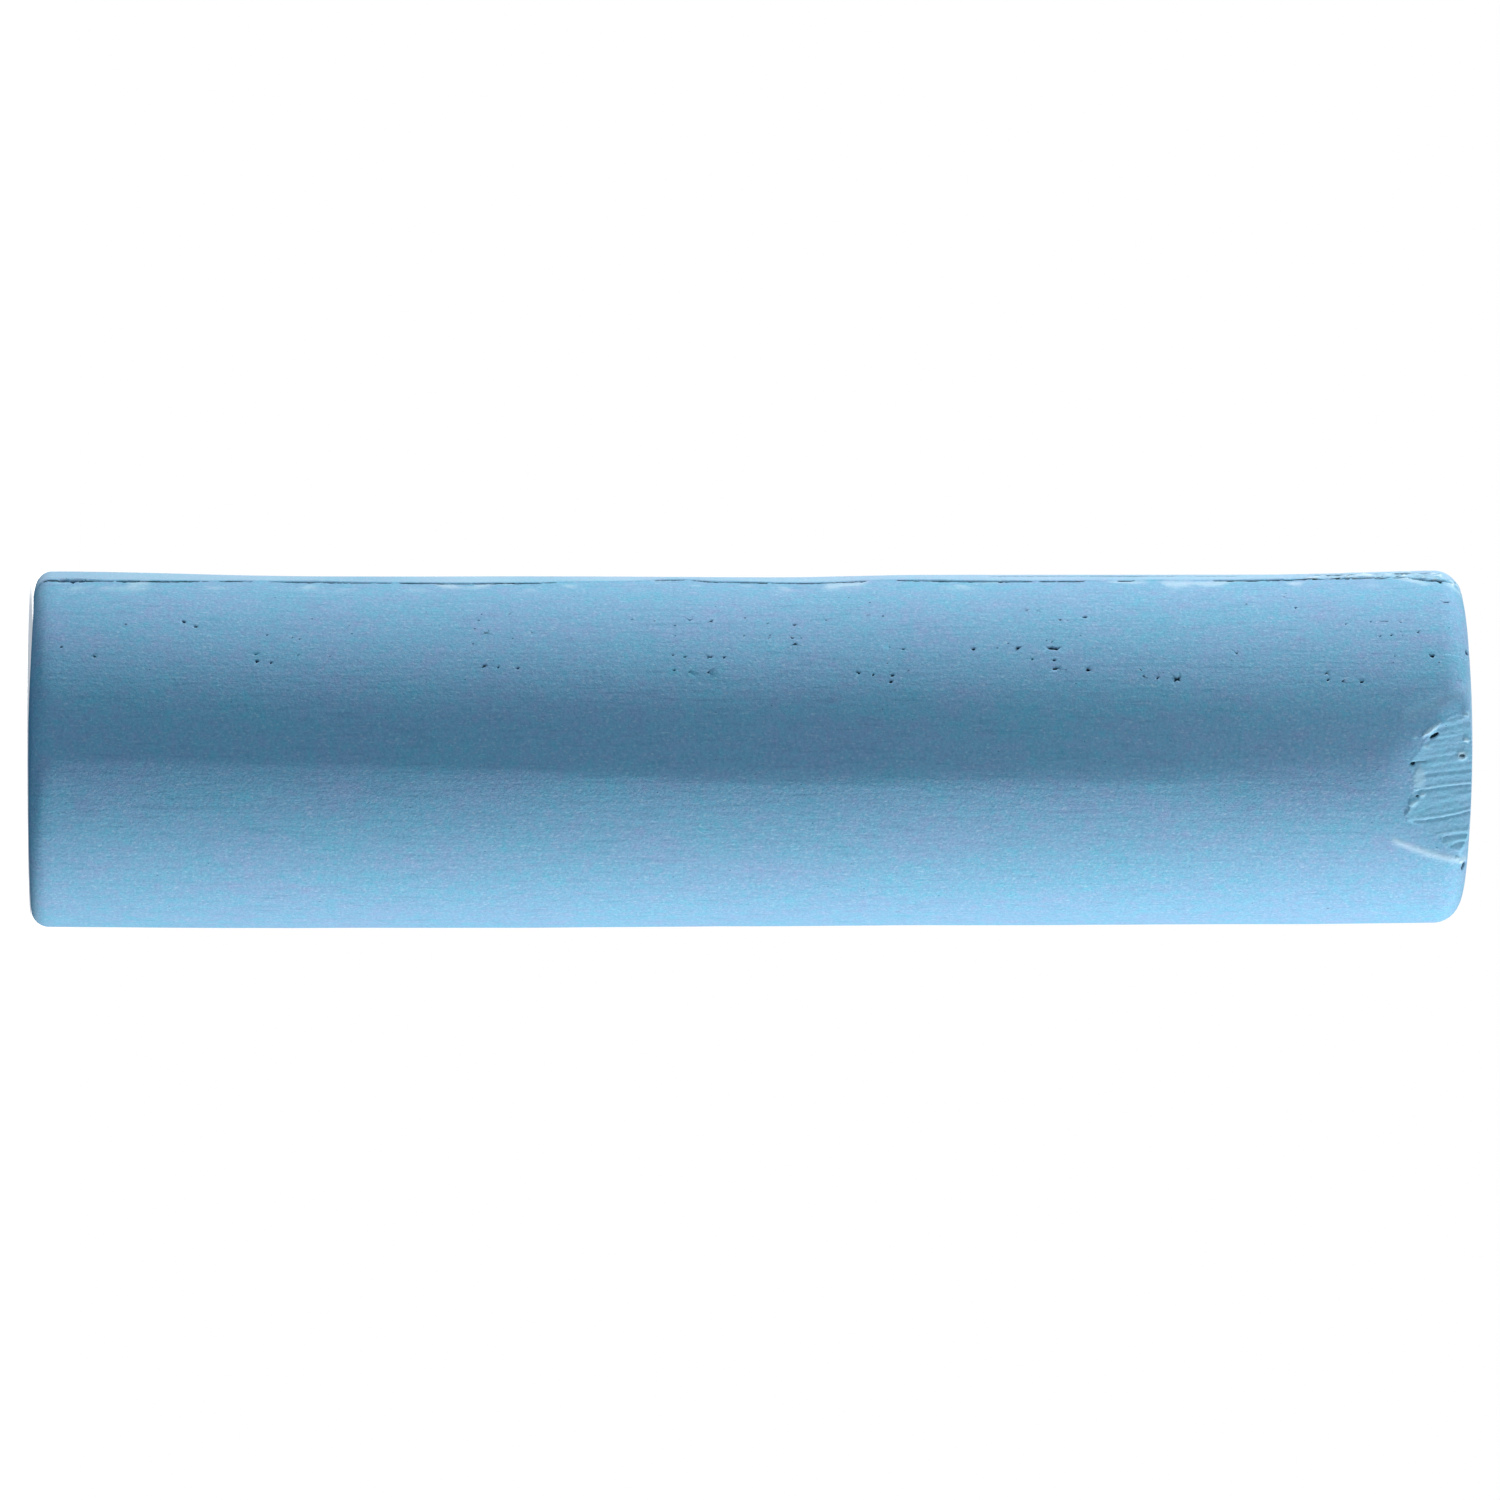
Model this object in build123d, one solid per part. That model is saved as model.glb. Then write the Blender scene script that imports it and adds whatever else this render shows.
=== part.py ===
"""Soft pastel stick: one round bar of pressed pigment, chalk and binder.

The bar stands on its flat foot, with +Z along its axis towards the crowned head.
Its origin is the centre of the foot. The seam that runs up one side, the facet worn
on the head's rim and the nick beside it are all cut from the one solid.
"""

import os
from math import atan2, degrees

from build123d import *

# Driving dimensions, in millimetres. Bearings are degrees round the bar from the front,
# which is the -Y side, and are positive towards +X.
STICK_LENGTH = 61.0
BARREL_DIAMETER = 14.9
FOOT_EDGE_RADIUS = 0.65
HEAD_EDGE_RADIUS = 1.1

# The head is part of a large ball. Its highest point lies forward of the axis, so the head
# slopes gently down to the rear, as on a stick that was cut a little askew.
HEAD_CROWN = 0.5
HEAD_APEX_FORWARD = 3.5

# The seam is a hairline crack of V section, open in stretches between two short breaks.
SEAM_BEARING = -75.5
SEAM_WIDTH = 0.22
SEAM_DEPTH = 0.18
SEAM_FOOT_GAP = 1.1
SEAM_HEAD_GAP = 1.7
SEAM_BREAK_HEIGHTS = (25.8, 35.4)
SEAM_BREAK_LENGTH = 1.3

# The facet is a flat that drawing has worn on the head's rim.
FACET_BEARING = 12.0
FACET_LENGTH = 3.2
FACET_DEPTH = 1.1

# The nick is a small chip broken out of the rim, just past the facet's far corner.
NICK_BEARING = 46.0
NICK_WIDTH = 0.45
NICK_LENGTH = 0.5

# How far a cutter reaches past the surface that it cuts.
CUT_MARGIN = 1.0

barrel_radius = BARREL_DIAMETER / 2


def on_bearing(bearing):
    """A frame on the axis whose X direction points out of the bar's side at this bearing."""
    return Plane.XY.rotated((0, 0, bearing - 90))


def make_bar():
    """The plain bar: a flat foot, a straight barrel and a crowned head, both rims rounded."""
    crown_radius = (barrel_radius**2 + HEAD_CROWN**2) / (2 * HEAD_CROWN)
    crown_centre = Pos(0, -HEAD_APEX_FORWARD, STICK_LENGTH - crown_radius)
    crown_ball = crown_centre * Rot(90, 0, 0) * Sphere(crown_radius)
    barrel = Cylinder(barrel_radius, STICK_LENGTH, align=(Align.CENTER, Align.CENTER, Align.MIN))
    bar = barrel & crown_ball
    bar = fillet(bar.faces().sort_by(Axis.Z)[0].edges(), FOOT_EDGE_RADIUS)
    return fillet(bar.faces().sort_by(Axis.Z)[-1].edges(), HEAD_EDGE_RADIUS)


def seam_stretches():
    """The lowest and highest height of each open stretch of the seam."""
    low = SEAM_FOOT_GAP
    stretches = []
    for break_height in SEAM_BREAK_HEIGHTS:
        stretches.append((low, break_height))
        low = break_height + SEAM_BREAK_LENGTH
    stretches.append((low, STICK_LENGTH - SEAM_HEAD_GAP))
    return stretches


def make_seam_cutter(low, high):
    """The wedge that opens one stretch of the seam from the barrel's surface."""
    half_width = SEAM_WIDTH / 2 * (1 + CUT_MARGIN / SEAM_DEPTH)
    profile = on_bearing(SEAM_BEARING) * Polygon(
        (barrel_radius - SEAM_DEPTH, 0),
        (barrel_radius + CUT_MARGIN, -half_width),
        (barrel_radius + CUT_MARGIN, half_width),
        align=None,
    )
    return extrude(Pos(0, 0, low) * profile, high - low)


def make_facet_cutter():
    """The block outside the facet's plane, which leans in from the barrel towards the head."""
    lean = degrees(atan2(FACET_DEPTH, FACET_LENGTH))
    reach = 2 * BARREL_DIAMETER
    block = Box(reach, reach, reach, align=(Align.MIN, Align.CENTER, Align.CENTER))
    start = Pos(barrel_radius, 0, STICK_LENGTH - FACET_LENGTH)
    return on_bearing(FACET_BEARING) * start * Rot(0, -lean, 0) * block


def make_nick_cutter():
    """A small bar that lies across the rounded rim, corner down."""
    corner = HEAD_EDGE_RADIUS * (1 - 0.5**0.5)
    seat = Pos(barrel_radius - corner, 0, STICK_LENGTH - HEAD_CROWN - corner)
    cutter = Box(NICK_LENGTH, NICK_WIDTH, NICK_WIDTH)
    return on_bearing(NICK_BEARING) * seat * Rot(0, 45, 0) * Rot(45, 0, 0) * cutter


stick = make_bar()
for stretch_low, stretch_high in seam_stretches():
    stick -= make_seam_cutter(stretch_low, stretch_high)
stick -= make_facet_cutter()
stick -= make_nick_cutter()

os.makedirs("parts", exist_ok=True)
export_step(stick, "parts/pastel_stick.step")
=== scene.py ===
"""The looks of a soft pastel stick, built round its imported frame.

The stick stands on its flat foot, with +Z along its axis towards the crowned head. The camera
looks along +Y and lies on its side, so that the stick runs across the picture with its head to
the right and its -X side uppermost.

Sizes are in millimetres and bearings in degrees round the stick from its front, which is the
-Y side, positive towards +X. Finished meshes are scaled to metres.
"""

import logging
import math
import random
from collections.abc import Callable, Iterable
from dataclasses import dataclass, field
from enum import Enum, IntEnum
from functools import cached_property

import bmesh
import bpy
from mathutils import Matrix, Vector, noise

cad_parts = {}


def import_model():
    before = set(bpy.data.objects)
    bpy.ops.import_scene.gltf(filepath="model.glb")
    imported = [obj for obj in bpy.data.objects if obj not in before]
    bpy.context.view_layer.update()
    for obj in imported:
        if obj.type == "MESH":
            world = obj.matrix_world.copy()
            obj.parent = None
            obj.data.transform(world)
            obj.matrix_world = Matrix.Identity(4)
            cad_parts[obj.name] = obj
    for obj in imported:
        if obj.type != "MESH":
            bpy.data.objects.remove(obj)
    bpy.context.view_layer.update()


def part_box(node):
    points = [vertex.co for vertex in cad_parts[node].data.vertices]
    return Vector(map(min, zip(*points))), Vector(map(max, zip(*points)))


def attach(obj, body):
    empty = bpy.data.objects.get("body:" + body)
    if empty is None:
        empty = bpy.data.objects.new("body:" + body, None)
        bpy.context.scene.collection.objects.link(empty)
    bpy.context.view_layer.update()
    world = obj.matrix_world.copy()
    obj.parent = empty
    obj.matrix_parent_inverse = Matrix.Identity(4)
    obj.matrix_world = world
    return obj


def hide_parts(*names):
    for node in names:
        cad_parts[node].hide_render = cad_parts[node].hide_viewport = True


LOG = logging.getLogger("pastel")

MILLIMETRE = 0.001
FULL_TURN = math.tau
STICK_NODE = "pastel_stick"
ROOT_BODY = "root"


class Layer(IntEnum):
    """The unlike layers of noise, one for each thing that wavers."""

    RIDGE_DRIFT = 1
    RIDGE_WAVER = 2
    SEAM_DRIFT = 3
    SEAM_WAVER = 4
    SEAM_WIDTH = 5
    SEAM_FRAY = 6
    SEAM_DUST = 7
    SEAM_LIP = 8
    FLAKES = 9
    FINE_FLAKES = 10
    HIGHLIGHT_SPECKS = 11
    PORE_EDGE = 12
    POROUS_PATCHES = 13
    TORN_EDGE = 20
    TORN_FRAY = 21
    LUMP_EDGE = 25
    TORN_GROUND = 26
    FINE_TORN_GROUND = 27


def lerp(low: float, high: float, share: float) -> float:
    """Returns the value that lies this share of the way from low to high."""
    return low + (high - low) * share


def smooth_step(low: float, high: float, value: float) -> float:
    """Eases from 0 to 1 as a value crosses a span.

    Args:
        low: Where the result leaves 0.
        high: Where the result reaches 1.
        value: The value that crosses the span.

    Returns:
        The eased share, from 0 to 1.
    """
    share = min(max((value - low) / (high - low), 0.0), 1.0)
    return share * share * (3.0 - 2.0 * share)


def bump(distance: float, width: float) -> float:
    """Returns a bell curve's height, 1 at its middle, at this distance for this half-width."""
    return math.exp(-((distance / width) ** 2))


def trace(knots: Iterable[tuple[float, float]], at: float) -> float:
    """Reads a line that eases from knot to knot.

    Args:
        knots: Pairs of position and value, in rising order of position.
        at: The position to read.

    Returns:
        The value there, held level past either end.
    """
    points = list(knots)
    if at <= points[0][0]:
        return points[0][1]
    for (low, low_value), (high, high_value) in zip(points, points[1:]):
        if at <= high:
            return lerp(low_value, high_value, smooth_step(low, high, at))
    return points[-1][1]


def bearing_of(point: Vector) -> float:
    """Returns the degrees round the stick from the front to a point, positive towards +X."""
    return math.degrees(math.atan2(point.x, -point.y))


def wobble(x: float, y: float, layer: Layer) -> float:
    """Returns smooth noise, about -1 to 1, at a point of one of the unlike layers."""
    return noise.noise(Vector((x, y, layer * 7.31)))


@dataclass(frozen=True)
class Place:
    """A place on the stick's skin.

    Attributes:
        point: The place itself, in millimetres.
        outward: The skin's outward direction there.
    """

    point: Vector
    outward: Vector

    @property
    def bearing(self) -> float:
        """Degrees round the stick from the front, positive towards +X."""
        return bearing_of(self.point)

    @property
    def height(self) -> float:
        """Millimetres above the foot."""
        return self.point.z


@dataclass(frozen=True)
class BarShape:
    """The true bar: a flat foot, a straight barrel and a crowned head, with rounded rims.

    Attributes:
        radius: The barrel's radius.
        length: The height of the head's highest point, before it leans.
        foot_edge: The radius of the foot's rounding.
        head_edge: The radius of the head's rounding.
        crown: How high the head bulges above its rim.
        apex_forward: How far forward of the axis the leaning head is highest.
        lean_reach: How far below the head's rounding the lean starts.
    """

    radius: float
    length: float
    foot_edge: float = 0.65
    head_edge: float = 1.1
    crown: float = 0.5
    apex_forward: float = 3.5
    lean_reach: float = 4.0

    @property
    def crown_radius(self) -> float:
        """The radius of the ball that the head's crown is part of."""
        return (self.radius**2 + self.crown**2) / (2 * self.crown)

    @property
    def crown_centre(self) -> float:
        """The height of that ball's centre."""
        return self.length - self.crown_radius

    @property
    def head_arc_reach(self) -> float:
        """How far from the axis the head rounding's centre lies."""
        return self.radius - self.head_edge

    @property
    def head_arc_height(self) -> float:
        """The height of the head rounding's centre, where the barrel ends."""
        ball = self.crown_radius - self.head_edge
        return self.crown_centre + math.sqrt(ball**2 - self.head_arc_reach**2)

    def arc_mm(self, degrees: float) -> float:
        """Returns the length on the barrel of a turn of this many degrees."""
        return math.radians(degrees) * self.radius

    def settle(self, point: Vector) -> Place:
        """Moves a point onto the true bar.

        Args:
            point: A point near the bar's skin.

        Returns:
            The place on the skin that it belongs to.
        """
        reach = math.hypot(point.x, point.y)
        if reach < 1e-6:
            is_head = point.z > self.length / 2
            pole = Vector((0, 0, self.length if is_head else 0))
            return Place(pole, Vector((0, 0, 1 if is_head else -1)))
        around = Vector((point.x / reach, point.y / reach, 0))
        up = Vector((0, 0, 1))
        crown_start = self.head_arc_reach * self.crown_radius / (self.crown_radius - self.head_edge)
        if point.z < self.foot_edge:
            if reach <= self.radius - self.foot_edge:
                return Place(around * reach, -up)
            centre = around * (self.radius - self.foot_edge) + up * self.foot_edge
            outward = (point - centre).normalized()
            return Place(centre + outward * self.foot_edge, outward)
        if point.z <= self.head_arc_height:
            return Place(around * self.radius + up * point.z, around)
        if reach > crown_start:
            centre = around * self.head_arc_reach + up * self.head_arc_height
            outward = (point - centre).normalized()
            return Place(centre + outward * self.head_edge, outward)
        rise = math.sqrt(self.crown_radius**2 - reach**2)
        skin = around * reach + up * (self.crown_centre + rise)
        return Place(skin, (skin - up * self.crown_centre).normalized())

    def lean(self, place: Place) -> Place:
        """Leans the head, whose highest point lies forward of the axis.

        Args:
            place: A place on the bar with its head level.

        Returns:
            The same place with its head leaning down to the rear.
        """
        end = self.head_arc_height
        share = smooth_step(end - self.lean_reach, end, place.height)
        forward = self.apex_forward
        rise = -(2 * forward * place.point.y + forward**2) / (2 * self.crown_radius)
        tilt = forward / self.crown_radius * max(0.0, place.outward.z)
        return Place(
            place.point + Vector((0, 0, rise * share)),
            (place.outward + Vector((0, tilt * share, 0))).normalized(),
        )


@dataclass(frozen=True)
class HandRolledForm:
    """How a bar that was rolled and dried by hand strays from a true one.

    Attributes:
        shape: The true bar.
        sway: Pairs of height and how far the axis strays there towards +X.
        girth: Pairs of height and how far the skin stands proud there all round.
        foot_slant: How far the foot's face rises by its -X side, where it was cut askew.
        dent_depth: How deep the broad dents are.
        dapple_depth: How deep the small ones are.
    """

    shape: BarShape
    sway: tuple[tuple[float, float], ...] = (
        (0.0, -0.03),
        (12.0, 0.095),
        (31.0, 0.08),
        (38.5, 0.0),
        (52.0, -0.03),
        (61.0, -0.15),
    )
    girth: tuple[tuple[float, float], ...] = (
        (1.0, 0.086),
        (14.0, -0.005),
        (20.0, -0.003),
        (31.0, -0.058),
        (38.0, -0.022),
        (51.0, -0.043),
        (61.0, 0.02),
    )
    foot_slant: float = 0.18
    dent_depth: float = 0.014
    dapple_depth: float = 0.005

    def sway_at(self, height: float) -> float:
        """Returns how far the axis strays towards +X at a height."""
        return trace(self.sway, height)

    def relief(self, place: Place) -> float:
        """Returns how far the skin stands proud of the true bar at a place."""
        height, point = place.height, place.point
        dents = noise.noise(Vector((point.x / 5, point.y / 5, height / 11)))
        dapples = noise.noise(Vector((point.x * 1.3, point.y * 1.3, height * 0.6)))
        flank = 1.0 - abs(place.outward.z)
        girth = flank * trace(self.girth, height)
        return girth + self.dent_depth * dents + self.dapple_depth * dapples

    def slant(self, place: Place) -> float:
        """Returns how far the foot's face rises at a place, because the bar was cut askew."""
        near_foot = 1.0 - smooth_step(0.0, 2.5, place.height)
        share = smooth_step(0.0, 1.0, -place.point.x / self.shape.radius)
        return self.foot_slant * share * near_foot


@dataclass(frozen=True)
class RollingRidge:
    """A faint long edge down the front, left where the bar lay while it dried.

    Attributes:
        bearing_low: Its bearing by the foot.
        bearing_high: Its bearing further up.
        fade_from: The height where it starts to fade.
        fade_to: The height where it is gone.
        steepness: How fast the skin falls away from it, for each degree.
        softness: How round its edge is, in degrees.
        spread: How far it reaches to either side, in degrees.
    """

    bearing_low: float = 3.0
    bearing_high: float = 10.5
    fade_from: float = 46.0
    fade_to: float = 54.0
    steepness: float = 0.0062
    softness: float = 0.8
    spread: float = 20.0

    def relief(self, place: Place) -> float:
        """Returns how far the ridge changes the skin at a place."""
        height = place.height
        middle = lerp(self.bearing_low, self.bearing_high, smooth_step(8.0, 34.0, height))
        middle += 0.9 * wobble(height * 0.35, 0.0, Layer.RIDGE_DRIFT)
        middle += 0.35 * wobble(height * 1.4, 0.0, Layer.RIDGE_WAVER)
        turn = place.bearing - middle
        roof = self.spread * 0.3 - math.hypot(turn, self.softness)
        strength = 1.0 - smooth_step(self.fade_from, self.fade_to, height)
        return self.steepness * roof * bump(turn, self.spread) * strength


@dataclass(frozen=True)
class CrackRun:
    """One open stretch of a crack along the stick.

    Attributes:
        low: Its lowest height.
        high: Its highest height.
        width: How wide it gapes.
        depth: How deep it goes.
    """

    low: float
    high: float
    width: float
    depth: float


@dataclass(frozen=True)
class Seam:
    """The lap line where the rolled dough closed on itself, with its lip, flakes and cracks.

    Attributes:
        shape: The bar that it runs up.
        course: Pairs of height and the line's bearing there.
        runs: The open stretches of the line.
        second_course: The same for a second line, at the lip's edge.
        second_runs: The open stretches of the second line.
        lip: How proud the lip stands at the line.
        lip_reach: How far behind the line the lip sinks away.
        lip_dust: How pale the skin is behind the line, from 0 to 1.
        flake_from: The height above which the lip flakes.
        flake_height: How far the flakes stand proud or sunk.
    """

    shape: BarShape
    course: tuple[tuple[float, float], ...] = (
        (0.0, -71.0),
        (4.0, -71.6),
        (11.0, -75.0),
        (19.5, -73.2),
        (25.0, -75.4),
        (27.6, -79.2),
        (29.0, -76.2),
        (33.0, -74.1),
        (36.0, -75.2),
        (42.5, -73.6),
        (50.0, -74.5),
        (56.0, -75.4),
        (58.3, -73.6),
        (59.4, -70.6),
    )
    runs: tuple[CrackRun, ...] = (
        CrackRun(0.4, 1.2, 0.16, 0.08),
        CrackRun(1.1, 2.35, 0.58, 0.34),
        CrackRun(2.25, 3.0, 0.28, 0.14),
        CrackRun(3.0, 3.5, 0.2, 0.12),
        CrackRun(3.6, 4.6, 0.3, 0.15),
        CrackRun(4.5, 7.6, 0.16, 0.08),
        CrackRun(7.9, 9.5, 0.13, 0.07),
        CrackRun(10.0, 15.3, 0.3, 0.16),
        CrackRun(15.4, 20.4, 0.2, 0.11),
        CrackRun(20.3, 22.2, 0.14, 0.08),
        CrackRun(26.4, 27.9, 0.27, 0.14),
        CrackRun(28.0, 31.3, 0.22, 0.12),
        CrackRun(31.2, 34.3, 0.15, 0.08),
        CrackRun(34.3, 35.4, 0.22, 0.12),
        CrackRun(36.7, 42.4, 0.32, 0.16),
        CrackRun(42.6, 44.6, 0.14, 0.08),
        CrackRun(46.0, 46.7, 0.14, 0.08),
        CrackRun(50.0, 54.2, 0.24, 0.14),
        CrackRun(54.2, 58.3, 0.34, 0.18),
        CrackRun(58.0, 60.2, 0.28, 0.16),
    )
    second_course: tuple[tuple[float, float], ...] = (
        (36.0, -82.0),
        (50.6, -82.6),
        (56.0, -82.0),
        (59.8, -79.5),
    )
    second_runs: tuple[CrackRun, ...] = (
        CrackRun(40.5, 44.4, 0.42, 0.16),
        CrackRun(44.3, 48.9, 0.46, 0.18),
        CrackRun(48.7, 51.3, 0.36, 0.16),
        CrackRun(54.4, 55.6, 0.4, 0.16),
        CrackRun(57.7, 59.7, 0.34, 0.16),
    )
    lip: float = 0.04
    lip_reach: float = 0.9
    lip_dust: float = 0.42
    flake_from: float = 52.0
    flake_height: float = 0.06

    def _gape(
        self, place: Place, course: Iterable[tuple[float, float]], runs: Iterable[CrackRun]
    ) -> tuple[float, float]:
        """Reads how deep and how open a line of cracks is at a place.

        Args:
            place: The place.
            course: The line's course.
            runs: Its open stretches.

        Returns:
            The depth there in millimetres, and the share from 0 at the skin to 1 at the bottom.
        """
        height = place.height
        depth = share = 0.0
        for run in runs:
            if not run.low <= height <= run.high:
                continue
            along = (height - run.low) / (run.high - run.low)
            middle = trace(course, height)
            middle += 0.3 * wobble(height * 1.1, 0.0, Layer.SEAM_DRIFT)
            middle += 0.25 * wobble(height * 4.1, 0.0, Layer.SEAM_WAVER)
            off = abs(self.shape.arc_mm(place.bearing - middle))
            ragged = 0.85 + 0.5 * wobble(height * 2.3, 0.0, Layer.SEAM_WIDTH)
            ragged += 0.5 * wobble(height * 7.0, 0.0, Layer.SEAM_FRAY)
            taper = math.sqrt(max(0.0, 1.0 - abs(2 * along - 1) ** 3))
            open_share = 1.0 - off / max(run.width / 2 * ragged * taper, 1e-3)
            if open_share > share:
                share = open_share
                depth = run.depth * min(1.0, 1.6 * open_share) * taper
        return depth, share

    def relief(self, place: Place) -> tuple[float, float, float]:
        """Reads the seam's shape at a place.

        Args:
            place: The place.

        Returns:
            How far the skin stands proud, then how much painted shade darkens its cracks and flake
            hollows, and how pale it is from dust and painted highlight, 0 to 1.
        """
        height = place.height
        off = self.shape.arc_mm(place.bearing - trace(self.course, height))
        if abs(off) > 5.0 or place.outward.z > 0.98:
            return 0.0, 0.0, 0.0
        lip = self.lip * math.exp(off / self.lip_reach) if off < 0 else 0.0
        lip *= 0.7 + 0.6 * wobble(height * 0.5, off, Layer.SEAM_LIP)
        behind = smooth_step(-0.05, -0.3, off) * smooth_step(-4.6, -2.0, off)
        dust_and_highlight = self.lip_dust * behind * (0.75 + 0.5 * wobble(height * 0.24, 0.0, Layer.SEAM_DUST))
        # Painted highlight: pale specks just in front of the line.
        highlight_speck_noise = wobble(height * 0.9, off * 1.2, Layer.HIGHLIGHT_SPECKS)
        highlight_specks = bump(off - 0.45, 0.5) * smooth_step(0.12, 0.42, highlight_speck_noise)
        flaking = smooth_step(self.flake_from, self.flake_from + 3.0, height)
        band = smooth_step(0.35, -0.1, off) * smooth_step(-1.7, -0.9, off)
        flakes = wobble(height * 1.9, off * 3.0, Layer.FLAKES)
        flakes += 0.7 * wobble(height * 4.6, off * 6.0, Layer.FINE_FLAKES)
        flakes *= flaking * band
        first, first_share = self._gape(place, self.course, self.runs)
        second, second_share = self._gape(place, self.second_course, self.second_runs)
        # Painted shade: the open cracks and the sunk flakes are darkened, standing in for the shade
        # inside them.
        recess_shade = max(first_share * 1.3, second_share * 1.3, smooth_step(0.3, 0.75, -flakes))
        # Pale dust behind the line, with painted highlight on the pale specks in front of it and on
        # the raised flakes.
        dust_and_highlight = max(dust_and_highlight, 0.5 * highlight_specks, smooth_step(0.15, 0.5, flakes))
        proud = lip + self.flake_height * max(-0.8, min(0.8, 1.5 * flakes))
        return proud - max(first, second), min(1.0, recess_shade), dust_and_highlight


@dataclass(frozen=True)
class Pore:
    """A pinhole left by an air bubble or a dragged grain.

    Attributes:
        bearing: Its middle's bearing.
        height: Its middle's height.
        length: Its half-length along the stick.
        width: Its half-width round the stick.
        depth: How deep it goes.
        tilt: Degrees that its long side turns from the stick's axis.
    """

    bearing: float
    height: float
    length: float = 0.07
    width: float = 0.055
    depth: float = 0.12
    tilt: float = 0.0


class PoreField:
    """All the pinholes, found quickly by place."""

    CELL = 1.0

    def __init__(self, shape: BarShape, pores: Iterable[Pore]) -> None:
        """Files the pores by cell.

        Args:
            shape: The bar that they lie in.
            pores: The pores.
        """
        self.shape = shape
        self.pores = list(pores)
        self._cells: dict[tuple[int, int], list[Pore]] = {}
        for pore in self.pores:
            across, along = self._cell(pore.bearing, pore.height)
            for row in (-1, 0, 1):
                for column in (-1, 0, 1):
                    self._cells.setdefault((across + column, along + row), []).append(pore)

    def _cell(self, bearing: float, height: float) -> tuple[int, int]:
        """Returns the cell that a bearing and height fall in."""
        across = math.floor(self.shape.arc_mm(bearing) / self.CELL)
        return across, math.floor(height / self.CELL)

    def near(self, bearing: float, height: float) -> list[Pore]:
        """Returns the pores within a cell or so of a bearing and height."""
        return self._cells.get(self._cell(bearing, height), [])

    def offset(self, pore: Pore, bearing: float, height: float) -> tuple[float, float]:
        """Measures a place from a pore's middle.

        Args:
            pore: The pore.
            bearing: The place's bearing.
            height: The place's height.

        Returns:
            Millimetres along the pore's long side, and across it.
        """
        across = self.shape.arc_mm(bearing - pore.bearing)
        along = height - pore.height
        turn = math.radians(pore.tilt)
        return (
            along * math.cos(turn) + across * math.sin(turn),
            across * math.cos(turn) - along * math.sin(turn),
        )

    def relief(self, place: Place) -> tuple[float, float]:
        """Reads the pores at a place.

        Args:
            place: The place.

        Returns:
            How far the skin is sunk, as a negative number, and how much painted shade darkens the
            pore's inside, 0 to 1.
        """
        sunk = recess_shade = 0.0
        for pore in self.near(place.bearing, place.height):
            along, across = self.offset(pore, place.bearing, place.height)
            far = math.hypot(along / pore.length, across / pore.width)
            far *= 1.0 + 0.25 * wobble(place.height * 7, place.bearing, Layer.PORE_EDGE)
            share = 1.0 - smooth_step(0.55, 1.2, far)
            sunk = min(sunk, -pore.depth * share)
            # Painted shade: the pore's inside is darkened by this share.
            recess_shade = max(recess_shade, share)
        return sunk, recess_shade


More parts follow.
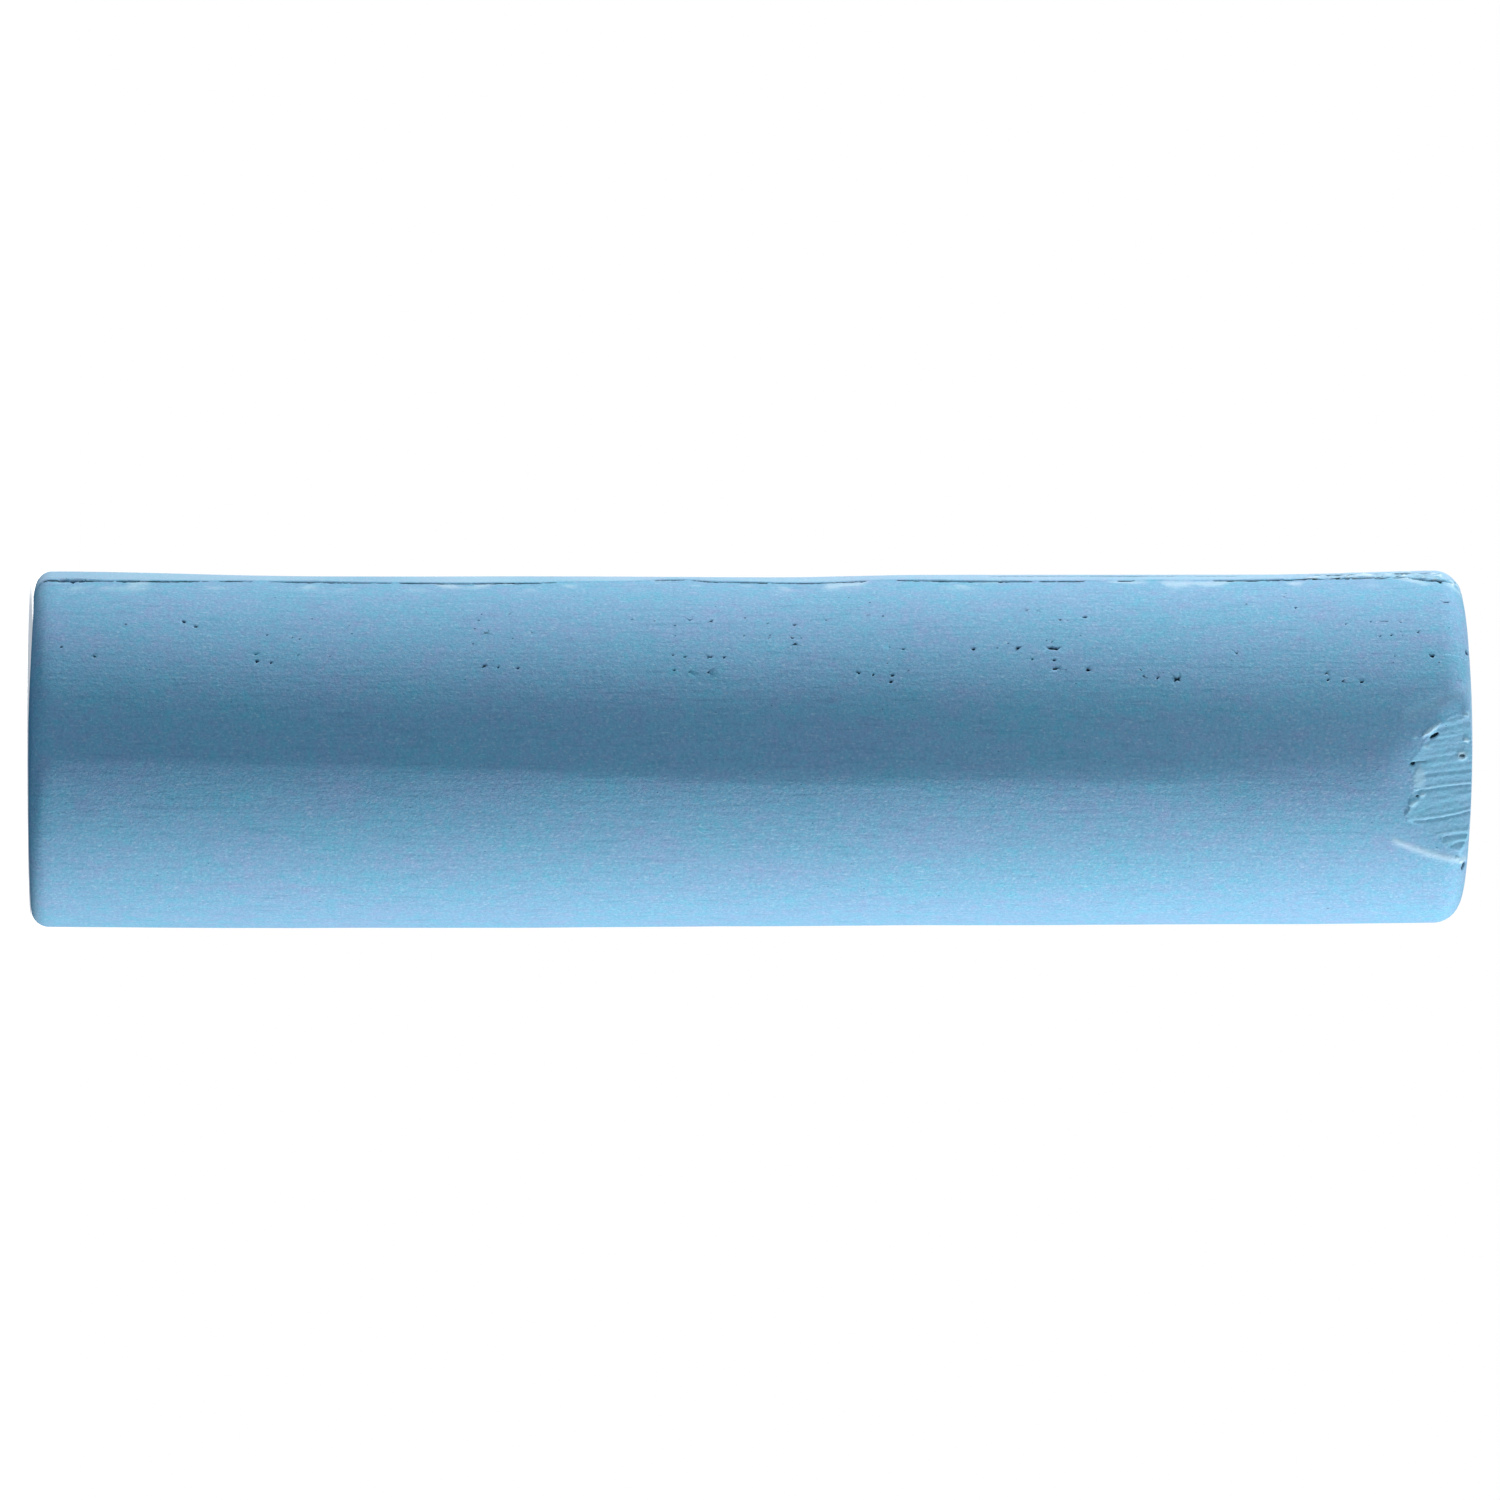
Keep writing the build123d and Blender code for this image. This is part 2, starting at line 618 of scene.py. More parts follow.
class PorePlan:
    """Chooses where the pinholes lie: mostly in strings along the rear flank of the front."""

    SEED = 4117

    # The small groups all have this pattern: millimetres along and round the stick, and a size.
    GROUP = (
        (0.0, 0.0, 0.7),
        (0.05, 0.33, 1.0),
        (0.65, 0.4, 0.7),
        (1.47, 0.45, 1.0),
        (1.78, -0.02, 0.55),
    )

    def __init__(self, shape: BarShape) -> None:
        """Starts the draw for one bar."""
        self.shape = shape
        self.rng = random.Random(self.SEED)

    def _pore(self, bearing: float, height: float, size: float) -> Pore:
        """Returns a pore of about this size, a little longer along the stick than across."""
        length = 0.054 * size * self.rng.uniform(0.9, 1.5)
        width = 0.043 * size * self.rng.uniform(0.85, 1.2)
        depth = 0.13 * size * self.rng.uniform(0.8, 1.2)
        return Pore(bearing, height, length, width, depth, self.rng.uniform(-18, 18))

    def groups(self) -> list[Pore]:
        """Returns the small groups of five that come about every 9 mm up the stick."""
        pores = []
        starts = (1.35, 9.6, 19.2, 27.2, 35.0, 47.0, 54.8)
        for order, start in enumerate(starts):
            first_bearing = lerp(-35.0, -25.5, order / (len(starts) - 1))
            for along, across, size in self.GROUP:
                turn = math.degrees(across / self.shape.radius)
                pores.append(self._pore(first_bearing + turn, start + along, size))
        return pores

    def strings(self) -> list[Pore]:
        """Returns seeded strings of one to four pinholes over the upper front."""
        pores = []
        for _ in range(24):
            bearing = self.rng.triangular(-57.0, -27.0, -48.0)
            height = self.rng.uniform(1.5, 58.5)
            for _ in range(self.rng.choice((1, 1, 2, 3, 4))):
                pores.append(self._pore(bearing, height, self.rng.uniform(0.45, 0.85)))
                height += self.rng.uniform(0.3, 1.2)
                bearing += self.rng.uniform(-0.8, 1.1)
        return [pore for pore in pores if pore.height < self.shape.length - 1.5]

    def all_round(self) -> list[Pore]:
        """Returns the few pinholes scattered over the rest of the barrel."""
        pores = []
        for _ in range(46):
            bearing = self.rng.uniform(48.0, 275.0)
            height = self.rng.uniform(1.5, self.shape.length - 2.0)
            size = self.rng.uniform(0.4, 0.9)
            pores.append(self._pore(math.remainder(bearing, 360.0), height, size))
        return pores

    def notable(self) -> list[Pore]:
        """Returns the larger holes, each placed one by one."""
        return [
            Pore(-46.6, 6.55, 0.07, 0.05, 0.12, 30),
            Pore(-44.5, 7.05, 0.08, 0.05, 0.13, 30),
            Pore(-35.4, 41.8, 0.09, 0.06, 0.16, 15),
            Pore(-35.2, 43.25, 0.27, 0.06, 0.15, 8),
            Pore(-35.0, 39.9, 0.08, 0.05, 0.12, 0),
            Pore(-27.6, 43.35, 0.12, 0.05, 0.14, -6),
            Pore(-27.2, 44.7, 0.16, 0.07, 0.18, 20),
            Pore(-49.0, 44.6, 0.09, 0.05, 0.12, 0),
            Pore(-53.5, 53.5, 0.09, 0.04, 0.1, 0),
            Pore(-55.0, 59.85, 0.18, 0.05, 0.13, -14),
            Pore(-31.0, 59.25, 0.09, 0.06, 0.14, 12),
            Pore(-34.8, 60.7, 0.1, 0.1, 0.12, 0),
            Pore(-23.0, 36.4, 0.07, 0.05, 0.12, 0),
            Pore(46.2, 60.62, 0.1, 0.22, 0.26, 0),
        ]

    def lay_out(self) -> PoreField:
        """Returns every pore, filed for the bar."""
        pores = self.groups() + self.strings() + self.all_round() + self.notable()
        return PoreField(self.shape, pores)


@dataclass(frozen=True)
class Stroke:
    """A line scored into the worn facet, or a fold raised on it, that climbs towards the head.

    Attributes:
        across: Where it lies at its low end.
        low: The height of its low end.
        high: The height of its high end.
        width: Its half-width.
        rise: How proud it stands; a groove's is negative.
        lean: How far it moves across in each millimetre of climb at its low end.
        bow: How fast that changes.
        dust_and_highlight: How pale it is, from 0 to 1: pale dust and painted highlight on a raised
            stroke.
    """

    across: float
    low: float
    high: float
    width: float
    rise: float
    lean: float = -0.06
    bow: float = 0.0
    dust_and_highlight: float = 0.0

    def cover(self, across: float, height: float) -> float:
        """Returns how much of the stroke is at a place, from 0 to 1."""
        up = height - self.low
        off = (across - self.across - self.lean * up - self.bow * up * up) / self.width
        if abs(off) > 2.6 or not -0.2 < up < self.high - self.low + 0.2:
            return 0.0
        ends = smooth_step(-0.2, 0.15, up) * (1.0 - smooth_step(-0.15, 0.2, height - self.high))
        return bump(off, 1.0) * ends


@dataclass(frozen=True)
class Lump:
    """A crumb that clings to the worn facet, or a pit in it.

    Attributes:
        across: Where its middle lies.
        height: Its middle's height.
        length: Its half-length, along the stick where it isn't turned.
        width: Its half-width.
        rise: How proud it stands; a pit's is negative.
        turn: Degrees that its length turns from upright, towards +across.
        dust_and_highlight: How pale it is, from 0 to 1: pale dust and painted highlight on a raised
            crumb.
        dark: How much painted shade darkens a pit, from 0 to 1.
    """

    across: float
    height: float
    length: float
    width: float
    rise: float
    turn: float = 0.0
    dust_and_highlight: float = 0.0
    dark: float = 0.0

    def cover(self, across: float, height: float) -> float:
        """Returns how much of the lump is at a place, from 0 to 1."""
        aside, up = across - self.across, height - self.height
        if math.hypot(aside, up) > 1.6 * max(self.length, self.width):
            return 0.0
        turn = math.radians(self.turn)
        along = up * math.cos(turn) + aside * math.sin(turn)
        off = aside * math.cos(turn) - up * math.sin(turn)
        far = math.hypot(along / self.length, off / self.width)
        far *= 1.0 + 0.3 * wobble(across * 5.0, height * 5.0, Layer.LUMP_EDGE)
        return 1.0 - smooth_step(0.5, 1.25, far)


@dataclass(frozen=True)
class TornFacet:
    """The worn flat on the head's rim, with the torn and scored ground inside it.

    Places on it are given as millimetres across, which is level and positive towards +X, and
    as a height above the foot.

    Attributes:
        shape: The bar that it is worn on.
        bearing: The bearing that it faces.
        start_height: The height where the flat leaves the barrel.
        slope: How far it leans in for each millimetre of height.
        step: How deep the torn ground lies under the flat.
        softness: How near the flat the skin starts to round into it.
        border: Pairs of across and the torn ground's lowest height there.
        folds: The smooth folds that flank the torn ground.
        strokes: The lines scored into the torn ground.
        lumps: The crumbs and pits.
        stray_scores: How many fine scores are drawn between the chosen ones.
        seed: Where their draw starts.
    """

    shape: BarShape
    bearing: float = 12.0
    start_height: float = 57.8
    slope: float = 0.34
    step: float = 0.036
    softness: float = 0.4
    border: tuple[tuple[float, float], ...] = (
        (-3.0, 60.9),
        (-2.5, 59.75),
        (-2.1, 59.05),
        (-1.45, 58.75),
        (-0.85, 58.3),
        (0.3, 58.42),
        (0.9, 58.25),
        (1.55, 58.1),
        (2.0, 58.9),
        (2.6, 59.6),
        (3.2, 60.3),
        (3.6, 60.9),
    )
    folds: tuple[Stroke, ...] = (
        Stroke(-2.72, 57.9, 61.4, 0.27, 0.04, lean=-0.37, dust_and_highlight=0.1),
        Stroke(-2.18, 58.2, 61.2, 0.22, -0.015, lean=-0.34),
        Stroke(2.5, 57.6, 61.3, 0.17, 0.042, lean=0.5, bow=-0.045, dust_and_highlight=0.5),
    )
    strokes: tuple[Stroke, ...] = (
        Stroke(-2.4, 59.5, 61.2, 0.07, 0.018, lean=-0.18),
        Stroke(-2.2, 59.4, 61.2, 0.06, -0.014, lean=-0.15),
        Stroke(-1.75, 59.2, 60.5, 0.07, -0.01),
        Stroke(-0.95, 58.8, 60.7, 0.06, -0.026),
        Stroke(-0.78, 59.1, 60.8, 0.05, 0.016),
        Stroke(-0.6, 59.2, 61.0, 0.05, -0.014),
        Stroke(-0.29, 58.9, 61.0, 0.06, -0.024, lean=-0.04),
        Stroke(-0.14, 59.0, 61.0, 0.05, 0.016, lean=-0.04),
        Stroke(0.34, 58.4, 61.2, 0.05, 0.022, lean=-0.12, bow=0.025, dust_and_highlight=0.15),
        Stroke(0.44, 58.4, 61.2, 0.055, -0.04, lean=-0.12, bow=0.025),
        Stroke(1.55, 58.6, 60.8, 0.05, 0.014, lean=0.05, bow=-0.06, dust_and_highlight=0.1),
        Stroke(1.66, 58.15, 61.0, 0.045, -0.04, lean=0.08, bow=-0.06),
        Stroke(2.36, 59.35, 61.0, 0.06, 0.02, lean=-0.22, bow=0.11, dust_and_highlight=0.1),
        Stroke(2.6, 59.4, 61.0, 0.06, -0.03, lean=-0.36, bow=0.17),
        Stroke(2.8, 59.6, 61.0, 0.055, 0.018, lean=-0.38, bow=0.18, dust_and_highlight=0.1),
        Stroke(2.95, 59.9, 61.0, 0.07, -0.034, lean=-0.5, bow=0.3),
        Stroke(3.15, 60.1, 61.0, 0.06, 0.016, lean=-0.5, bow=0.3),
        Stroke(3.3, 60.3, 61.0, 0.07, -0.03, lean=-0.5, bow=0.3),
    )
    lumps: tuple[Lump, ...] = (
        Lump(-2.22, 59.18, 0.44, 0.13, 0.1, turn=-34, dust_and_highlight=0.5),
        Lump(-1.95, 59.33, 0.22, 0.075, -0.13, turn=-30, dark=0.95),
        Lump(-1.95, 58.5, 0.12, 0.07, 0.025, dust_and_highlight=0.25),
        Lump(-1.5, 59.0, 0.17, 0.1, 0.025, dust_and_highlight=0.25),
        Lump(-0.82, 58.42, 0.12, 0.09, -0.08, dark=0.75),
        Lump(-0.86, 58.76, 0.3, 0.05, -0.045, dark=0.35),
        Lump(-0.2, 58.69, 0.27, 0.52, 0.045, dust_and_highlight=0.3),
        Lump(0.61, 58.61, 0.055, 0.055, -0.1, dark=0.9),
        Lump(0.56, 58.84, 0.13, 0.1, 0.05, dust_and_highlight=0.35),
        Lump(0.9, 58.45, 0.24, 0.12, 0.06, turn=-30, dust_and_highlight=0.35),
        Lump(1.2, 58.28, 0.12, 0.08, 0.03, dust_and_highlight=0.2),
        Lump(-1.64, 60.68, 0.13, 0.1, 0.07, dust_and_highlight=0.6),
        Lump(-1.0, 60.52, 0.28, 0.2, 0.06, dust_and_highlight=0.5),
        Lump(-0.98, 60.5, 0.15, 0.08, -0.1, dark=0.5),
        Lump(-2.75, 60.7, 0.14, 0.1, 0.05, dust_and_highlight=0.3),
        Lump(3.66, 60.5, 0.12, 0.1, 0.05, dust_and_highlight=0.8),
        Lump(3.45, 60.32, 0.09, 0.07, 0.04, dust_and_highlight=0.5),
    )
    stray_scores: int = 22
    seed: int = 906

    @property
    def outward(self) -> Vector:
        """The level direction that the facet faces."""
        turn = math.radians(self.bearing)
        return Vector((math.sin(turn), -math.cos(turn), 0))

    @property
    def sideways(self) -> Vector:
        """The level direction that runs along the facet."""
        turn = math.radians(self.bearing)
        return Vector((math.cos(turn), math.sin(turn), 0))

    @cached_property
    def scores(self) -> tuple[Stroke, ...]:
        """The chosen strokes, with seeded fine scores between them."""
        rng = random.Random(self.seed)
        strays = []
        for _ in range(self.stray_scores):
            low = rng.uniform(58.9, 60.3)
            rise = rng.uniform(0.006, 0.013) * rng.choice((-1, 1))
            strays.append(
                Stroke(
                    rng.uniform(-2.1, 1.6), low, low + rng.uniform(0.5, 2.0),
                    rng.uniform(0.035, 0.06), rise, rng.uniform(-0.11, -0.03),
                )
            )
        return self.strokes + tuple(strays)

    def _torn_share(self, across: float, height: float) -> float:
        """Returns how far inside the torn ground a place is, from 0 to 1."""
        edge = trace(self.border, across)
        edge += 0.12 * wobble(across * 2.6, 0.0, Layer.TORN_EDGE)
        edge += 0.1 * wobble(across * 7.0, height, Layer.TORN_FRAY)
        return smooth_step(edge, edge + 0.12, height)

    def wear(self, point: Vector, facing: Vector) -> tuple[Vector, float, float, float]:
        """Wears a point of the skin back to the facet.

        Args:
            point: The point, in millimetres.
            facing: The skin's outward direction there.

        Returns:
            Where the point ends up, then how torn it is, how much painted shade darkens a pit
            there, and how much pale dust and painted highlight lie on a raised mark, all from 0 to
            1.
        """
        reach, across, height = point.dot(self.outward), point.dot(self.sideways), point.z
        if reach < 0.5 * self.shape.radius or height < self.start_height - 1.2:
            return point, 0.0, 0.0, 0.0
        torn = self._torn_share(across, height)
        flat = self.shape.radius - (height - self.start_height) * self.slope
        rough = 0.012 * wobble(across * 3.0, height * 2.2, Layer.TORN_GROUND)
        rough += 0.008 * wobble(across * 9.0, height * 7.0, Layer.FINE_TORN_GROUND)
        ground = flat + torn * (rough - self.step)
        worn = smooth_step(-0.2, 0.02, reach - ground)
        open_skin = max(worn, smooth_step(0.15, 0.5, facing.dot(self.outward)))
        covers = [(stroke, stroke.cover(across, height)) for stroke in self.folds]
        covers += [(stroke, torn * stroke.cover(across, height)) for stroke in self.scores]
        covers += [(lump, lump.cover(across, height)) for lump in self.lumps]
        rise = sum(mark.rise * cover for mark, cover in covers)
        # Pale dust and painted highlight on the raised strokes and crumbs.
        dust_and_highlight = max(mark.dust_and_highlight * cover for mark, cover in covers)
        # Painted shade: the pits are darkened.
        dark = max(lump.dark * cover for lump, cover in covers if isinstance(lump, Lump))
        soft = self.softness * (1.0 - torn)
        blend = max(0.0, 1.0 - abs(reach - ground) / max(soft, 1e-6))
        end = min(reach, ground) - soft * blend * blend / 4 + open_skin * rise
        moved = point + self.outward * (end - reach)
        return moved, torn * worn, dark * open_skin, dust_and_highlight * open_skin


@dataclass(frozen=True)
class Strip:
    """A stretch of the skin whose mesh is made finer.

    Attributes:
        left: Its lowest bearing.
        right: Its highest bearing.
        bottom: Its lowest height.
        top: Its highest height.
        reach: How far from the axis it starts.
    """

    left: float
    right: float
    bottom: float
    top: float
    reach: float

    def holds(self, edge: bmesh.types.BMEdge) -> bool:
        """Says whether both ends of an edge lie in the strip."""
        return all(
            self.left < bearing_of(vert.co) < self.right
            and self.bottom < vert.co.z < self.top
            and math.hypot(vert.co.x, vert.co.y) > self.reach
            for vert in edge.verts
        )


def runs_round(edge: bmesh.types.BMEdge) -> bool:
    """Says whether an edge runs round the stick and not along it."""
    first, second = (vert.co for vert in edge.verts)
    return abs(first.z - second.z) < 0.2 * edge.calc_length()


@dataclass
class PastelStick:
    """The stick itself, as one closed skin.

    Attributes:
        shape: The true bar that the frame gives.
        around: How many steps the skin has round the barrel.
        row_height: The height of one row of the barrel.
        disc_spacing: The width of one ring of the foot and the head.
        pore_mesh: The longest edge that is left beside a pore.
        form: How the bar strays from a true one.
        ridge: The long edge down the front.
        seam: The lap line.
        facet: The worn flat on the head's rim.
        pores: The pinholes.
        seam_strip: The finer stretch along the seam.
        ridge_strip: The finer stretch along the ridge.
        facet_strip: The finer stretch round the facet.
    """

    shape: BarShape
    around: int = 160
    row_height: float = 0.42
    disc_spacing: float = 0.36
    pore_mesh: float = 0.2
    form: HandRolledForm = field(init=False)
    ridge: RollingRidge = field(init=False)
    seam: Seam = field(init=False)
    facet: TornFacet = field(init=False)
    pores: PoreField = field(init=False)
    seam_strip: Strip = field(init=False)
    ridge_strip: Strip = field(init=False)
    facet_strip: Strip = field(init=False)

    def __post_init__(self) -> None:
        """Makes the features that mark the bar, and the strips that hold them."""
        self.form = HandRolledForm(self.shape)
        self.ridge = RollingRidge()
        self.seam = Seam(self.shape)
        self.facet = TornFacet(self.shape)
        self.pores = PorePlan(self.shape).lay_out()
        self.seam_strip = Strip(-88.0, -67.5, 0.2, self.shape.length - 0.6, 6.6)
        self.ridge_strip = Strip(-1.5, 15.0, 0.5, self.ridge.fade_to, 6.6)
        self.facet_strip = Strip(-32.0, 52.0, 57.0, math.inf, 5.6)

    def _spin_bar(self) -> bmesh.types.BMesh:
        """Returns the plain bar, spun from four corners whose rims are rounded."""
        shape = self.shape
        bm = bmesh.new()
        corners = [
            bm.verts.new(corner)
            for corner in (
                (0, 0, 0),
                (shape.radius, 0, 0),
                (shape.radius, 0, shape.length - shape.crown),
                (0, 0, shape.length),
            )
        ]
        for pair in zip(corners, corners[1:]):
            bm.edges.new(pair)
        for corner, rounding, segments in (
            (corners[1], shape.foot_edge, 5),
            (corners[2], shape.head_edge, 9),
        ):
            bmesh.ops.bevel(
                bm, geom=[corner], offset=rounding, segments=segments,
                affect="VERTICES", profile=0.5, material=-1,
            )
        for edge in [edge for edge in bm.edges if edge.calc_length() > 2.0]:
            is_barrel = edge.calc_length() > shape.radius * 2
            spacing = self.row_height if is_barrel else self.disc_spacing
            cuts = round(edge.calc_length() / spacing) - 1
            bmesh.ops.subdivide_edges(bm, edges=[edge], cuts=cuts)
        bmesh.ops.spin(
            bm, geom=bm.verts[:] + bm.edges[:], cent=(0, 0, 0), axis=(0, 0, 1),
            angle=FULL_TURN, steps=self.around, use_merge=True,
        )
        bmesh.ops.remove_doubles(bm, verts=bm.verts[:], dist=1e-4)
        self._settle(bm)
        return bm

    def _settle(self, bm: bmesh.types.BMesh) -> None:
        """Puts every corner back on the true bar."""
        for vert in bm.verts:
            vert.co = self.shape.settle(vert.co).point

    def _refine(
        self, bm: bmesh.types.BMesh, wanted: Callable[[bmesh.types.BMEdge], bool], cuts: int
    ) -> None:
        """Cuts the chosen edges finer and fills between them with a grid.

        Args:
            bm: The skin.
            wanted: Says whether an edge is cut.
            cuts: How many cuts each takes.
        """
        edges = [edge for edge in bm.edges if wanted(edge)]
        bmesh.ops.subdivide_edges(bm, edges=edges, cuts=cuts, use_grid_fill=True)
        self._settle(bm)

    def _by_pore(self, edge: bmesh.types.BMEdge) -> bool:
        """Says whether an edge lies beside a pore and is still coarse."""
        if edge.calc_length() < self.pore_mesh:
            return False
        if self.seam_strip.holds(edge) or self.facet_strip.holds(edge):
            return False
        middle = (edge.verts[0].co + edge.verts[1].co) / 2
        bearing = bearing_of(middle)
        for pore in self.pores.near(bearing, middle.z):
            along = abs(middle.z - pore.height)
            across = abs(self.shape.arc_mm(bearing - pore.bearing))
            if along < pore.length + 0.24 and across < pore.width + 0.2:
                return True
        return False

    def _porous(self, place: Place) -> float:
        """Returns how many fine pinholes the skin has at a place, from 0 to 1."""
        drift = wobble(place.height * 0.22, place.bearing * 0.05, Layer.POROUS_PATCHES)
        patches = smooth_step(-0.25, 0.35, drift)
        return 0.45 + 0.55 * bump(place.bearing + 46.0, 17.0) * patches

    def _mark(self, bm: bmesh.types.BMesh) -> None:
        """Shapes the skin with every feature and notes each corner's condition, with its painted
        shade and painted highlight.
        """
        names = ("recess_shade", "torn", "dust_and_highlight", "porous")
        layers = {name: bm.verts.layers.float.new(name) for name in names}
        for vert in bm.verts:
            place = self.shape.lean(self.shape.settle(vert.co))
            seam, seam_shade, seam_dust_and_highlight = self.seam.relief(place)
            sunk, pore_shade = self.pores.relief(place)
            proud = self.form.relief(place) + seam + sunk
            proud += self.ridge.relief(place) * (1.0 - abs(place.outward.z))
            point = place.point + place.outward * proud
            point, torn, pit_shade, torn_dust_and_highlight = self.facet.wear(point, place.outward)
            point.x += self.form.sway_at(place.height)
            point.z += self.form.slant(place)
            vert.co = point
            # Painted shade: how much the cracks, flake hollows, pores and pits are darkened.
            vert[layers["recess_shade"]] = max(seam_shade, pore_shade, pit_shade)
            vert[layers["torn"]] = torn
            # Pale dust, with painted highlight on raised flakes, specks and crumbs.
            vert[layers["dust_and_highlight"]] = max(seam_dust_and_highlight, torn_dust_and_highlight)
            vert[layers["porous"]] = self._porous(place)

    def build(self) -> bpy.types.Object:
        """Builds the stick's mesh.

        Returns:
            The stick's object, at the origin, in metres.
        """
        bm = self._spin_bar()
        seam, ridge, facet = self.seam_strip, self.ridge_strip, self.facet_strip
        self._refine(bm, lambda edge: seam.holds(edge) and runs_round(edge), 4)
        self._refine(bm, lambda edge: seam.holds(edge) and not runs_round(edge), 2)
        self._refine(bm, lambda edge: ridge.holds(edge) and runs_round(edge), 2)
        self._refine(bm, lambda edge: facet.holds(edge) and not runs_round(edge), 1)
        self._refine(bm, facet.holds, 4)
        self._refine(bm, self._by_pore, 6)
        bmesh.ops.recalc_face_normals(bm, faces=bm.faces[:])
        self._mark(bm)
        lowest = min(vert.co.z for vert in bm.verts)
        bmesh.ops.translate(bm, verts=bm.verts[:], vec=(0, 0, -lowest))
        bmesh.ops.scale(bm, verts=bm.verts[:], vec=(MILLIMETRE,) * 3)
        for face in bm.faces:
            face.smooth = True
        mesh = bpy.data.meshes.new("pastel_skin")
        bm.to_mesh(mesh)
        bm.free()
        stick = bpy.data.objects.new("pastel_skin", mesh)
        bpy.context.scene.collection.objects.link(stick)
        return stick


class NodeTree:
    """A material or world tree that is built by name and linked in reading order."""

    def __init__(self, tree: bpy.types.NodeTree) -> None:
        """Takes over a tree and empties it."""
        self.tree = tree
        tree.nodes.clear()

    def add(self, kind: str, inputs: dict | None = None, **settings: object) -> bpy.types.Node:
        """Adds a node.

        Args:
            kind: The node's type name.
            inputs: What goes into its inputs, by name or number: a value, or a socket to link.
            settings: Its other settings.

        Returns:
            The node.
        """
        node = self.tree.nodes.new(kind)
        for name, value in settings.items():
            setattr(node, name, value)
        for name, value in (inputs or {}).items():
            if isinstance(value, bpy.types.NodeSocket):
                self.tree.links.new(value, node.inputs[name])
            else:
                node.inputs[name].default_value = value
        return node

    def math(self, operation: str, first: object, second: object = 0.0) -> bpy.types.NodeSocket:
        """Returns the result of a Math node on two values or sockets."""
        return self.add("ShaderNodeMath", {0: first, 1: second}, operation=operation).outputs[0]

    def blend(self, share: object, first: object, second: object) -> bpy.types.NodeSocket:
        """Mixes two colours.

        Args:
            share: How much of the second, a value or socket.
            first: The first colour or socket.
            second: The second colour or socket.

        Returns:
            The mixed colour's socket.
        """
        node = self.add("ShaderNodeMix", data_type="RGBA")
        for socket, value in (
            (node.inputs["Factor"], share),
            (node.inputs[6], first),
            (node.inputs[7], second),
        ):
            if isinstance(value, bpy.types.NodeSocket):
                self.tree.links.new(value, socket)
            else:
                socket.default_value = value
        return node.outputs[2]

    def ramp(
        self, value: bpy.types.NodeSocket, low: float, high: float, start: float = 0.0,
        end: float = 1.0,
    ) -> bpy.types.NodeSocket:
        """Returns a value that goes from start to end as the input crosses low to high."""
        node = self.add(
            "ShaderNodeMapRange",
            {"Value": value, "From Min": low, "From Max": high, "To Min": start, "To Max": end},
        )
        return node.outputs["Result"]


def linear(red: int, green: int, blue: int) -> tuple[float, float, float, float]:
    """Returns a colour as shader values, from its everyday 0 to 255 screen values."""
    def channel(value: int) -> float:
        share = value / 255
        return share / 12.92 if share <= 0.04045 else ((share + 0.055) / 1.055) ** 2.4

    return channel(red), channel(green), channel(blue), 1.0


class GrainRun(Enum):
    """Which way a pattern on the stick runs."""

    EVEN = (1.0, 1.0, 1.0)
    DRAGGED = (1.0, 1.0, 0.5)
    STREAKED = (1.0, 1.0, 0.09)


@dataclass(frozen=True)
class Grain:
    """One pattern of noise in the chalk.

    Attributes:
        run: Which way it runs.
        per_mm: How many cells it has in a millimetre.
        detail: How many finer layers it has.
        roughness: How strong the finer layers are.
    """

    run: GrainRun
    per_mm: float
    detail: float = 2.0
    roughness: float = 0.5


